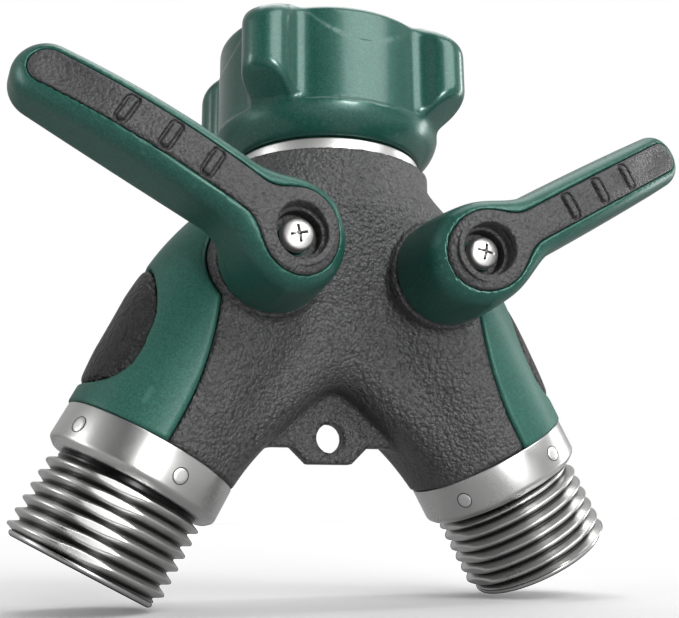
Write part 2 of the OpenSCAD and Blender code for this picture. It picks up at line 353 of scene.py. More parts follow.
@dataclass(frozen=True)
class Place:
    """Turns local millimetres into the frame's metres."""

    matrix: Matrix

    @staticmethod
    def upright() -> "Place":
        """The frame's own axes."""
        return Place(Matrix.Identity(4))

    @staticmethod
    def leg(side: Side) -> "Place":
        """A leg's axes: X out across the leg, Y as the frame's, Z down along the leg.

        Args:
            side: Which leg.

        Returns:
            The place, with its origin where the leg axes cross.
        """
        c, s = math.cos(LEG_ANGLE), math.sin(LEG_ANGLE)
        k = side.value
        return Place(Matrix(((k * c, 0, k * s, 0), (0, 1, 0, 0),
                             (s, 0, -c, -FORK_DROP), (0, 0, 0, 1))))

    def then(self, local: Matrix) -> "Place":
        """This place with a further local turn or shift."""
        return Place(self.matrix @ local)

    def mesh(self, name: str, shell: Shell) -> bpy.types.Mesh:
        """Makes a mesh of a surface given in this place's axes.

        Args:
            name: The mesh's name.
            shell: The surface.

        Returns:
            A smooth-shaded mesh in metres.
        """
        m = np.array(self.matrix)
        points = (shell.points @ m[:3, :3].T + m[:3, 3]) * MM
        faces = np.asarray(shell.faces)
        if np.linalg.det(m[:3, :3]) < 0:
            faces = faces[:, ::-1]
        mesh = bpy.data.meshes.new(name)
        mesh.from_pydata(points.tolist(), [], faces.tolist())
        mesh.validate()
        mesh.shade_smooth()
        if shell.crisp:
            mesh.set_sharp_from_angle(angle=SHARP_ANGLE)
        return mesh


def add_piece(name: str, place: Place, shell: Shell, body: str,
              material: bpy.types.Material, nodes: tuple[str, ...] = ()) -> bpy.types.Object:
    """Adds one piece of the object and ties it to the frame.

    Args:
        name: The piece's name.
        place: The axes the surface is given in.
        shell: The surface.
        body: The moving body that it rides on.
        material: Its finish.
        nodes: The model's nodes that it stands for.

    Returns:
        The new object.
    """
    piece = bpy.data.objects.new(name, place.mesh(name, shell))
    bpy.context.scene.collection.objects.link(piece)
    piece.data.materials.append(material)
    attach(piece, body)
    if nodes:
        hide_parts(*nodes)
    LOG.info("%s: %d faces", name, len(piece.data.polygons))
    return piece


# ---------------------------------------------------------------- finishes


class Bench:
    """Short ways to add and wire nodes in one tree."""

    def __init__(self, tree: bpy.types.NodeTree) -> None:
        """Keeps the tree that is worked on."""
        self.tree = tree

    def add(self, kind: str, settings: dict | None = None, **inputs: object) -> bpy.types.Node:
        """Adds a node.

        Args:
            kind: The node's type name, without its ShaderNode prefix.
            settings: Attributes to set on the node.
            **inputs: Values or output sockets for the inputs, with _ for a space.

        Returns:
            The node.
        """
        node = self.tree.nodes.new("ShaderNode" + kind)
        for key, value in (settings or {}).items():
            setattr(node, key, value)
        for key, value in inputs.items():
            socket = node.inputs[int(key[1:])] if key[1:].isdigit() else node.inputs[
                key.replace("_", " ")]
            self.feed(socket, value)
        return node

    def feed(self, socket: bpy.types.NodeSocket, value: object) -> None:
        """Links an output to a socket, or sets its value."""
        if isinstance(value, bpy.types.NodeSocket):
            self.tree.links.new(value, socket)
        else:
            socket.default_value = value

    def math(self, operation: str, a: object, b: object = 0.0) -> bpy.types.NodeSocket:
        """Adds a Math node and returns its output."""
        return self.add("Math", {"operation": operation}, _0=a, _1=b).outputs[0]

    def ramp(self, value: object, low: float, high: float, start: float = 0.0,
             end: float = 1.0) -> bpy.types.NodeSocket:
        """Maps a value from one range to another, clamped.

        Args:
            value: The input.
            low: Input that gives start.
            high: Input that gives end.
            start: Output at low.
            end: Output at high.

        Returns:
            The mapped output.
        """
        return self.add("MapRange", None, Value=value, From_Min=low, From_Max=high,
                        To_Min=start, To_Max=end).outputs["Result"]

    def mix(self, factor: object, a: object, b: object) -> bpy.types.NodeSocket:
        """Mixes two colours and returns the result."""
        node = self.add("Mix", {"data_type": "RGBA"})
        self.feed(node.inputs["Factor"], factor)
        self.feed(node.inputs[6], a)
        self.feed(node.inputs[7], b)
        return node.outputs[2]


@dataclass
class Effects:
    """Shader node groups that several finishes share."""

    made: dict[str, bpy.types.NodeTree] = field(default_factory=dict)

    def _group(self, name: str, inputs: dict[str, float], outputs: list[str]) -> tuple:
        """Starts a node group.

        Args:
            name: The group's name.
            inputs: Its number inputs and their first values.
            outputs: Its number outputs.

        Returns:
            The bench, the input node and the output node.
        """
        tree = bpy.data.node_groups.new(name, "ShaderNodeTree")
        for key, value in inputs.items():
            socket = tree.interface.new_socket(key, in_out="INPUT", socket_type="NodeSocketFloat")
            socket.default_value = value
        for key in outputs:
            tree.interface.new_socket(key, in_out="OUTPUT", socket_type="NodeSocketFloat")
        self.made[name] = tree
        bench = Bench(tree)
        return (bench, tree.nodes.new("NodeGroupInput"), tree.nodes.new("NodeGroupOutput"))

    def build(self) -> "Effects":
        """Builds every group once."""
        self._crinkle()
        self._grain()
        self._flake()
        self._handling()
        self._turning()
        self._edge()
        return self

    def place(self, bench: Bench, name: str, **inputs: object) -> bpy.types.Node:
        """Places a group in a material.

        Args:
            bench: The material's bench.
            name: The group's name.
            **inputs: Values for its inputs.

        Returns:
            The group node.
        """
        node = bench.tree.nodes.new("ShaderNodeGroup")
        node.node_tree = self.made[name]
        for key, value in inputs.items():
            bench.feed(node.inputs[key], value)
        return node

    def _crinkle(self) -> None:
        """Wrinkled powder coat: rounded cells with creases between them, and a mask for painted
        shade in the creases.
        """
        bench, given, out = self._group("crinkle", {"Scale": 900.0, "Fine": 0.25},
                                        ["Height", "Crease Shade"])
        spot = bench.add("TexCoord").outputs["Object"]
        warp = bench.add("TexNoise", None, Vector=spot, Scale=given.outputs["Scale"], Detail=2.0)
        shift = bench.add("VectorMath", {"operation": "SCALE"}, Scale=0.0005)
        bench.feed(shift.inputs[0], warp.outputs["Color"])
        bent = bench.add("VectorMath", {"operation": "ADD"}, _0=spot, _1=shift.outputs[0])
        cells = bench.add("TexVoronoi", {"feature": "SMOOTH_F1"}, Vector=bent.outputs[0],
                          Scale=given.outputs["Scale"], Smoothness=0.75)
        broad = bench.add("TexNoise", None, Vector=bent.outputs[0], Detail=2.0,
                          Scale=bench.math("MULTIPLY", given.outputs["Scale"], 0.6))
        dome = bench.ramp(cells.outputs["Distance"], 0.1, 0.75, 1.0, 0.0)
        fold = bench.ramp(broad.outputs[0], 0.3, 0.7)
        tiny = bench.add("TexNoise", None, Vector=spot, Detail=3.0,
                         Scale=bench.math("MULTIPLY", given.outputs["Scale"], 4.0))
        height = bench.math("ADD", bench.math("MULTIPLY", dome, 0.65),
                            bench.math("MULTIPLY", fold, 0.5))
        height = bench.math("ADD", height, bench.math("MULTIPLY", tiny.outputs[0],
                                                      given.outputs["Fine"]))
        bench.feed(out.inputs["Height"], height)
        # Painted shade mask: high in the creases between the cells, used to darken the coat's
        # colour there.
        bench.feed(out.inputs["Crease Shade"], bench.ramp(dome, 0.35, 0.0))

    def _grain(self) -> None:
        """Fine even grain of moulded rubber or blasted metal."""
        bench, given, out = self._group("grain", {"Scale": 4000.0}, ["Height", "Speck"])
        spot = bench.add("TexCoord").outputs["Object"]
        noise = bench.add("TexNoise", None, Vector=spot, Scale=given.outputs["Scale"], Detail=3.0,
                          Roughness=0.6)
        cells = bench.add("TexVoronoi", None, Vector=spot, Scale=bench.math(
            "MULTIPLY", given.outputs["Scale"], 0.8))
        height = bench.math("ADD", bench.math("MULTIPLY", noise.outputs[0], 0.7),
                            bench.math("MULTIPLY", cells.outputs["Distance"], 0.3))
        bench.feed(out.inputs["Height"], height)
        bench.feed(out.inputs["Speck"], bench.ramp(noise.outputs[0], 0.35, 0.65))

    def _flake(self) -> None:
        """Metal flakes under paint: small cells of uneven brightness."""
        bench, given, out = self._group("flake", {"Scale": 5200.0}, ["Sparkle", "Height"])
        spot = bench.add("TexCoord").outputs["Object"]
        cells = bench.add("TexVoronoi", None, Vector=spot, Scale=given.outputs["Scale"])
        split = bench.add("SeparateColor", None, Color=cells.outputs["Color"])
        bench.feed(out.inputs["Sparkle"], bench.ramp(split.outputs[0], 0.15, 1.0))
        bench.feed(out.inputs["Height"], split.outputs[1])

    def _handling(self) -> None:
        """Broad uneven gloss left by hands and weather."""
        bench, given, out = self._group("handling", {"Scale": 60.0}, ["Smudge", "Scuff"])
        spot = bench.add("TexCoord").outputs["Object"]
        broad = bench.add("TexNoise", None, Vector=spot, Scale=given.outputs["Scale"], Detail=4.0,
                          Roughness=0.55)
        fine = bench.add("TexNoise", None, Vector=spot, Detail=5.0, Roughness=0.7,
                         Scale=bench.math("MULTIPLY", given.outputs["Scale"], 14.0))
        bench.feed(out.inputs["Smudge"], bench.ramp(broad.outputs[0], 0.3, 0.72))
        bench.feed(out.inputs["Scuff"], bench.ramp(fine.outputs[0], 0.58, 0.72))

    def _turning(self) -> None:
        """Turned metal: fine rings along a given axis, and a mask for painted shade in a thread's
        root.
        """
        bench, given, out = self._group(
            "turning", {"Axis X": 0.0, "Axis Y": 0.0, "Axis Z": 1.0, "Rings": 5200.0,
                        "Origin Z": 0.0, "Root": 0.0}, ["Height", "Groove Shade"])
        origin = bench.add("CombineXYZ", None, Z=given.outputs["Origin Z"])
        spot = bench.add("VectorMath", {"operation": "SUBTRACT"},
                         _0=bench.add("TexCoord").outputs["Object"],
                         _1=origin.outputs[0]).outputs[0]
        axis = bench.add("CombineXYZ", None, X=given.outputs["Axis X"], Y=given.outputs["Axis Y"],
                         Z=given.outputs["Axis Z"])
        along = bench.add("VectorMath", {"operation": "DOT_PRODUCT"}, _0=spot, _1=axis.outputs[0])
        rings = bench.add("TexNoise", {"noise_dimensions": "1D"}, W=along.outputs["Value"],
                          Scale=given.outputs["Rings"], Detail=3.0, Roughness=0.7)
        bench.feed(out.inputs["Height"], rings.outputs[0])
        off = bench.add("VectorMath", {"operation": "CROSS_PRODUCT"}, _0=spot,
                        _1=axis.outputs[0])
        reach = bench.add("VectorMath", {"operation": "LENGTH"}, _0=off.outputs[0])
        # Painted shade mask: high near the thread's root radius, fading out 0.42 mm above it.
        above = bench.math("SUBTRACT", reach.outputs["Value"], given.outputs["Root"])
        low = bench.ramp(above, 0.00042, 0.00002)
        bench.feed(out.inputs["Groove Shade"], bench.math("MULTIPLY", low,
                                                    bench.ramp(above, -0.001, -0.0005)))

    def _edge(self) -> None:
        """Masks from how sharply the surface turns: edges rub bare, and grooves get painted shade.
        """
        bench, given, out = self._group("edge", {"From": 0.52, "To": 0.62}, ["Edge", "Groove Shade"])
        bend = bench.add("NewGeometry").outputs["Pointiness"]
        rub = bench.add("TexNoise", None, Vector=bench.add("TexCoord").outputs["Object"],
                        Scale=420.0, Detail=4.0)
        bent = bench.math("ADD", bend, bench.math("MULTIPLY", bench.math(
            "SUBTRACT", rub.outputs[0], 0.5), 0.05))
        ramp = bench.add("MapRange", None, Value=bent, From_Min=given.outputs["From"],
                         From_Max=given.outputs["To"])
        bench.feed(out.inputs["Edge"], ramp.outputs["Result"])
        # Painted shade mask: concave spots, where pointiness is low.
        bench.feed(out.inputs["Groove Shade"], bench.ramp(bend, 0.495, 0.45))


def start_material(name: str) -> tuple[Bench, bpy.types.Material, bpy.types.Node]:
    """Starts a material with one shader.

    Args:
        name: The material's name.

    Returns:
        Its bench, the material and its shader node.
    """
    material = bpy.data.materials.new(name)
    material.use_nodes = True
    return Bench(material.node_tree), material, material.node_tree.nodes["Principled BSDF"]


@dataclass(frozen=True)
class CrinkleCoat:
    """Crinkle texture with painted shade in its creases: the casting's powder coat, and finer or
    coarser on rubber parts.
    """

    name: str
    colour: tuple[float, float, float]
    scale: float = 900.0
    depth: float = 0.00022
    roughness: float = 0.5
    specular: float = 0.55

    def build(self, effects: Effects) -> bpy.types.Material:
        """Makes the material."""
        bench, material, shader = start_material(self.name)
        crinkle = effects.place(bench, "crinkle", Scale=self.scale)
        handling = effects.place(bench, "handling", Scale=55.0)
        # Painted shade: the colour drops to 40 per cent of itself in the crinkle's creases.
        dark = tuple(c * 0.4 for c in self.colour) + (1.0,)
        tint = bench.mix(crinkle.outputs["Crease Shade"], (*self.colour, 1.0), dark)
        bench.feed(shader.inputs["Base Color"], tint)
        rough = bench.ramp(handling.outputs["Smudge"], 0.0, 1.0, self.roughness - 0.06,
                           self.roughness + 0.08)
        bench.feed(shader.inputs["Roughness"], rough)
        bump = bench.add("Bump", None, Height=crinkle.outputs["Height"], Strength=1.0,
                         Distance=self.depth)
        bench.feed(shader.inputs["Normal"], bump.outputs[0])
        shader.inputs["Specular IOR Level"].default_value = self.specular
        return material


@dataclass(frozen=True)
class FlakePaint:
    """Metallic paint under a clear coat."""

    name: str
    colour: tuple[float, float, float]
    roughness: float = 0.4
    coat: float = 0.12
    coat_roughness: float = 0.25

    def build(self, effects: Effects) -> bpy.types.Material:
        """Makes the material."""
        bench, material, shader = start_material(self.name)
        flake = effects.place(bench, "flake")
        handling = effects.place(bench, "handling", Scale=45.0)
        edge = effects.place(bench, "edge", From=0.56, To=0.68)
        dark = tuple(c * 0.8 for c in self.colour) + (1.0,)
        light = tuple(min(1.0, c * 1.25 + 0.004) for c in self.colour) + (1.0,)
        tint = bench.mix(flake.outputs["Sparkle"], dark, light)
        worn = tuple(min(1.0, c * 1.6 + 0.05) for c in self.colour) + (1.0,)
        rubbed = bench.math("MULTIPLY", edge.outputs["Edge"], 0.35)
        bench.feed(shader.inputs["Base Color"], bench.mix(rubbed, tint, worn))
        rough = bench.ramp(handling.outputs["Smudge"], 0.0, 1.0, self.roughness - 0.05,
                           self.roughness + 0.07)
        bench.feed(shader.inputs["Roughness"], rough)
        bump = bench.add("Bump", None, Height=flake.outputs["Height"], Strength=0.2,
                         Distance=0.00002)
        bench.feed(shader.inputs["Normal"], bump.outputs[0])
        shader.inputs["Metallic"].default_value = 0.3
        shader.inputs["Specular IOR Level"].default_value = 0.5
        shader.inputs["Coat Weight"].default_value = self.coat
        shader.inputs["Coat Roughness"].default_value = self.coat_roughness
        return material


@dataclass(frozen=True)
class TurnedMetal:
    """Bare turned metal with tool rings, grain, light smudges and painted shade in its grooves."""

    name: str
    colour: tuple[float, float, float]
    axis: tuple[float, float, float] = (0.0, 0.0, 1.0)
    roughness: float = 0.3
    rings: float = 0.00001
    grain: float = 0.00002
    root: float = 0.0

    def build(self, effects: Effects) -> bpy.types.Material:
        """Makes the material."""
        bench, material, shader = start_material(self.name)
        turning = effects.place(bench, "turning", **{
            "Axis X": self.axis[0], "Axis Y": self.axis[1], "Axis Z": self.axis[2],
            "Origin Z": -FORK_DROP * MM, "Root": self.root})
        grain = effects.place(bench, "grain", Scale=5200.0)
        handling = effects.place(bench, "handling", Scale=80.0)
        dull = tuple(c * 0.86 for c in self.colour) + (1.0,)
        tint = bench.mix(bench.math("MULTIPLY", grain.outputs["Speck"], 0.5),
                         (*self.colour, 1.0), dull)
        edge = effects.place(bench, "edge")
        # Painted shade: the colour goes near black in grooves and in a thread's root.
        deep = (turning if self.root else edge).outputs["Groove Shade"]
        groove_shade = bench.mix(deep, tint, (0.02, 0.02, 0.02, 1.0))
        bench.feed(shader.inputs["Base Color"], groove_shade)
        rough = bench.math("ADD", bench.ramp(handling.outputs["Smudge"], 0.0, 1.0,
                                             self.roughness - 0.05, self.roughness + 0.07),
                           bench.math("MULTIPLY", handling.outputs["Scuff"], 0.06))
        bench.feed(shader.inputs["Roughness"], rough)
        first = bench.add("Bump", None, Height=turning.outputs["Height"], Strength=0.6,
                          Distance=self.rings)
        second = bench.add("Bump", None, Height=grain.outputs["Height"], Strength=0.7,
                           Distance=self.grain, Normal=first.outputs[0])
        bench.feed(shader.inputs["Normal"], second.outputs[0])
        shader.inputs["Metallic"].default_value = 1.0
        return material


@dataclass(frozen=True)
class PlainPolymer:
    """Smooth white or black polymer of seals and seats."""

    name: str
    colour: tuple[float, float, float]
    roughness: float = 0.45

    def build(self, effects: Effects) -> bpy.types.Material:
        """Makes the material."""
        bench, material, shader = start_material(self.name)
        handling = effects.place(bench, "handling", Scale=90.0)
        shade = tuple(c * 0.9 for c in self.colour) + (1.0,)
        tint = bench.mix(handling.outputs["Smudge"], (*self.colour, 1.0), shade)
        bench.feed(shader.inputs["Base Color"], tint)
        rough = bench.ramp(handling.outputs["Smudge"], 0.0, 1.0, self.roughness,
                           self.roughness + 0.12)
        bench.feed(shader.inputs["Roughness"], rough)
        return material


@dataclass
class Finishes:
    """Every finish of the splitter, built once."""

    effects: Effects

    def build(self) -> "Finishes":
        """Builds the materials."""
        c, s = math.cos(LEG_ANGLE), math.sin(LEG_ANGLE)
        make = self.effects
        self.coat = CrinkleCoat("black crinkle coat", (0.05, 0.05, 0.051), 1850.0,
                                0.00032, 0.4).build(make)
        self.pad = CrinkleCoat("coarse pad rubber", (0.007, 0.007, 0.007), 1250.0, 0.0005,
                               0.42, 0.36).build(make)
        self.paint = FlakePaint("green flake paint", (0.011, 0.082, 0.06)).build(make)
        self.gloss = FlakePaint("glossy green paint", (0.011, 0.082, 0.06), 0.36, 0.5,
                                0.18).build(make)
        self.matt = FlakePaint("matt green paint", (0.012, 0.09, 0.066), 0.55, 0.1,
                               0.3).build(make)
        self.inlay = CrinkleCoat("soft inlay rubber", (0.042, 0.042, 0.043), 2100.0, 0.0002,
                                 0.52).build(make)
        self.seal = PlainPolymer("black seal rubber", (0.02, 0.02, 0.02)).build(make)
        self.ptfe = PlainPolymer("white seat polymer", (0.82, 0.82, 0.8), 0.35).build(make)
        self.neck = TurnedMetal("satin neck ring", (0.6, 0.6, 0.59), roughness=0.42).build(make)
        self.screw = TurnedMetal("zinc plated screw", (0.86, 0.85, 0.83), (0, 1, 0),
                                 0.4).build(make)
        self.chrome = TurnedMetal("polished ball", (0.75, 0.75, 0.77), (0, 1, 0), 0.1,
                                  0.000002, 0.000002).build(make)
        self.outlet = {side: TurnedMetal(f"satin {side.word} outlet", (0.62, 0.62, 0.61),
                                         (side.value * s, 0, -c), 0.3, 0.000004,
                                         0.000006, 0.01205).build(make)
                       for side in Side}
        self.pin = TurnedMetal("ground pins", (0.8, 0.8, 0.79), (0, 1, 0), 0.38).build(make)
        return self


# ---------------------------------------------------------------- sub-assemblies


@dataclass
class LegShape:
    """Outer shape that the casting, the side grips and the pads share."""

    length: float = 65.6
    top_radius: float = 15.9
    end_radius: float = 15.0
    grip_depth: float = 1.7
    boss_radius: float = 9.45
    boss_face: float = 17.0
    valve_s: float = 32.5
    cone_radius: float = 17.85
    cone_z: float = -29.0
    pad_low: float = 40.2
    pad_high: float = 62.0
    pad_half: float = 11.0

    def local(self, x: Array, y: Array, z: Array, side: int) -> tuple[Array, Array]:
        """A leg's own coordinates of frame points.

        Args:
            x: Frame X in millimetres.
            y: Frame Y; not used.
            z: Frame Z.
            side: 1 for the right leg and -1 for the left.

        Returns:
            Distance outward across the leg, and distance along it.
        """
        c, s = math.cos(LEG_ANGLE), math.sin(LEG_ANGLE)
        below = z + FORK_DROP
        return side * x * c + below * s, side * x * s - below * c

    def radius(self, along: Array) -> Array:
        """The leg's outer radius at a distance along it."""
        part = np.clip(along / self.length, 0, 1)
        swell = 0.45 * np.exp(-((along - 38) / 13) ** 2)
        return self.top_radius + (self.end_radius - self.top_radius) * part + swell

    def outside(self, u: Array, y: Array, s: Array) -> Array:
        """Distances to the endless leg."""
        return np.hypot(u, y) - self.radius(s)

    def shouldered(self, u: Array, y: Array, s: Array) -> Array:
        """Distances to the leg where a cone under the neck cuts its upper corner."""
        across = s * math.sin(LEG_ANGLE) + u * math.cos(LEG_ANGLE)
        z = u * math.sin(LEG_ANGLE) - s * math.cos(LEG_ANGLE) - FORK_DROP
        spread = np.hypot(across, y) - self.cone_radius - 1.1 * np.maximum(self.cone_z - z, 0)
        return trim(self.outside(u, y, s), spread * 0.68, 3.0)

    def grip_edge(self, s: Array) -> Array:
        """Where the side grip's edge runs, outward from the leg's front line."""
        return -0.4 + 4 * (np.maximum(62 - s, 0) / 20) ** 2

    def grip_region(self, u: Array, y: Array, s: Array) -> Array:
        """Distances to the outline of the side grip, seen from the front."""
        slope = 0.4 * np.maximum(62 - s, 0) / 20
        edge = (self.grip_edge(s) - u) / np.sqrt(1 + slope ** 2)
        boss = self.boss_radius + 0.3 - np.hypot(u, s - self.valve_s)
        boss = np.where(y < 0, boss, -5.0)
        return np.maximum(np.maximum(edge, boss), 22.5 - s)

    def pad_region(self, y: Array, s: Array) -> Array:
        """Distances to the pad's outline: round above, with a straight foot."""
        half = 0.5 * (self.pad_high - self.pad_low)
        middle = 0.5 * (self.pad_high + self.pad_low)
        t = (s - middle) / half
        width = self.pad_half * (1 + 0.06 * t)
        power = np.where(t > 0, 3.4, 2.1)
        norm = (np.abs(t) ** power + np.abs(y / width) ** power) ** (1 / power)
        return (norm - 1) * self.pad_half * 0.85


@dataclass
class Casting:
    """The forked black body with its web, bosses and hanging tab."""

    leg: LegShape
    finishes: Finishes
    neck_radius: float = 17.25
    neck_top: float = -25.8
    neck_foot: float = -58.0
    neck_taper: float = 0.3
    taper_from: float = -35.0
    web_half: float = 11.0
    web_top: float = -30.0
    arch_top: float = -65.3
    arch_round: float = 3.0
    arch_slope: float = 0.98
    tab_half: float = 1.5
    tab_reach: float = 12.4
    tab_foot: float = -74.8
    tab_top: float = -60.0
    tail_reach: float = 7.05
    tail_foot: float = -77.7
    tail_slope: float = 1.05
    hole_z: float = -73.2
    hole_radius: float = 2.55
    chamber_radius: float = 10.5
    chamber_from: float = 21.5
    port_radius: float = 5.5
    port_from: float = 17.0
    port_to: float = 23.0
    stem_radius: float = 5.06
    gland_radius: float = 7.0
    gland_face: float = 14.2
    throat_radius: float = 7.6
    throat_z: tuple[float, float] = (-38.0, -20.0)
    turn_radius: float = 8.5
    socket_radius: float = 10.0
    socket_foot: float = -31.0
    leg_from: float = 9.0
    step: float = 0.5

    def _solid(self, x: Array, y: Array, z: Array) -> Array:
        """Distances to the casting without its grip pockets and bores."""
        legs = None
        for side in (1, -1):
            u, s = self.leg.local(x, y, z, side)
            one = trim(self.leg.shouldered(u, y, s), span(s, self.leg_from, self.leg.length),
                       1.0)
            legs = one if legs is None else join(legs, one, 7.0)
        neck = np.hypot(x, y) - self.neck_radius
        neck = neck + self.neck_taper * np.maximum(self.taper_from - z, 0)
        neck = trim(neck * 0.95, span(z, self.neck_foot, self.neck_top), 0.5)
        shape = join(legs, neck, 4.0)
        fall = np.hypot(x, self.arch_round) - self.arch_round
        arch = (self.arch_top - self.arch_slope * fall - z) * 0.72
        inner = [self.leg.local(x, y, z, side)[0] for side in (1, -1)]
        web = trim(np.maximum(arch, np.maximum(inner[0], inner[1])),
                   span(y, -self.web_half, self.web_half), 7.0)
        web = np.maximum(web, z - self.web_top)
        shape = join(shape, web, 2.0)
        ax = np.abs(x)
        tab = np.maximum(self.tab_foot - z, ax - self.tab_reach)
        cut = ax - self.tail_reach + (self.tab_foot - z) * self.tail_slope
        tail = np.maximum(self.tail_foot - z, cut * 0.69)
        tab = np.maximum(np.minimum(tab, tail), z - self.tab_top)
        tab = trim(tab, np.abs(y) - self.tab_half, 0.7)
        shape = join(shape, tab, 1.6)
        for side in (1, -1):
            u, s = self.leg.local(x, y, z, side)
            boss = trim(np.hypot(u, s - self.leg.valve_s) - self.leg.boss_radius,
                        span(y, -self.leg.boss_face, 0.0), 0.7)
            shape = join(shape, boss, 1.2)
        shape = np.maximum(shape, z - self.neck_top)
        for side in (1, -1):
            shape = np.maximum(shape, self.leg.local(x, y, z, side)[1] - self.leg.length)
        return shape

    def shape(self, x: Array, y: Array, z: Array) -> Array:
        """Distances to the whole casting."""
        solid = self._solid(x, y, z)
        shape = solid
        for side in (1, -1):
            u, s = self.leg.local(x, y, z, side)
            pocket = np.maximum(self.leg.grip_region(u, y, s) - 0.05,
                                -(solid + self.leg.grip_depth))
            shape = carve(shape, pocket, 0.3)
            inner = np.hypot(u, y)
            valve = np.hypot(u, s - self.leg.valve_s)
            chamber = np.maximum(inner - self.chamber_radius, self.chamber_from - s)
            port = np.maximum(inner - self.port_radius, span(s, self.port_from, self.port_to))
            stem = np.maximum(valve - self.stem_radius, y)
            gland = np.maximum(valve - self.gland_radius, y + self.gland_face)
            for tool in (chamber, port, stem, gland):
                shape = np.maximum(shape, -tool)
        r = np.hypot(x, y)
        throat = np.maximum(r - self.throat_radius, span(z, *self.throat_z))
        ball = np.hypot(r, z - self.throat_z[0]) - self.turn_radius
        socket = np.maximum(r - self.socket_radius, self.socket_foot - z)
        hole = np.hypot(x, z - self.hole_z) - self.hole_radius
        for tool in (throat, ball, socket):
            shape = np.maximum(shape, -tool)
        return carve(shape, hole, 0.4)

    def build(self) -> None:
        """Builds the casting and dresses it."""
        skin = Skin(self.shape, (-46, -20, -84), (46, 20, -24), self.step)
        add_piece("fork_casting", Place.upright(), skin.shell(), "splitter_body",
                  self.finishes.coat, ("body_casting",))


@dataclass
class SideGrip:
    """A green side panel and the textured pad set in it."""

    side: Side
    leg: LegShape
    finishes: Finishes
    proud: float = 0.3
    pad_proud: float = 0.75
    pad_depth: float = 1.0

    def panel(self, u: Array, y: Array, s: Array) -> Array:
        """Distances to the panel, in the leg's axes."""
        base = self.leg.shouldered(u, y, s)
        edge = self.leg.grip_region(u, y, s) + 0.07
        shape = trim(base - self.proud, edge, 0.9)
        shape = np.maximum(shape, -(base + self.leg.grip_depth - 0.1))
        shape = trim(shape, s - self.leg.length + 0.05, 0.3)
        pad = self.leg.pad_region(y, s) - 0.3
        pad = np.maximum(pad, -u)
        pocket = np.maximum(pad, -(base + self.pad_depth))
        return carve(shape, pocket, 0.5)

    def pad(self, u: Array, y: Array, s: Array) -> Array:
        """Distances to the pad, in the leg's axes."""
        base = self.leg.shouldered(u, y, s)
        outline = self.leg.pad_region(y, s)
        crown = self.pad_proud * np.clip(-outline / 5.0, 0, 1) ** 0.5
        shape = trim(base - 0.15 - crown, outline, 1.1)
        shape = np.maximum(shape, -(base + self.pad_depth - 0.05))
        return np.maximum(shape, -u)

    def build(self) -> None:
        """Builds the panel and its pad."""
        place = Place.leg(self.side)
        word = self.side.word
        panel = Skin(self.panel, (-2, -18, 21), (18, 18, 67), 0.42)
        add_piece(f"{word}_panel", place, panel.shell(), "splitter_body",
                  self.finishes.matt, (f"{word}_side_grip",))
        pad = Skin(self.pad, (7, -13, 38), (18.5, 13, 64), 0.36)
        add_piece(f"{word}_pad", place, pad.shell(), "splitter_body",
                  self.finishes.pad, (f"{word}_grip_pad",))


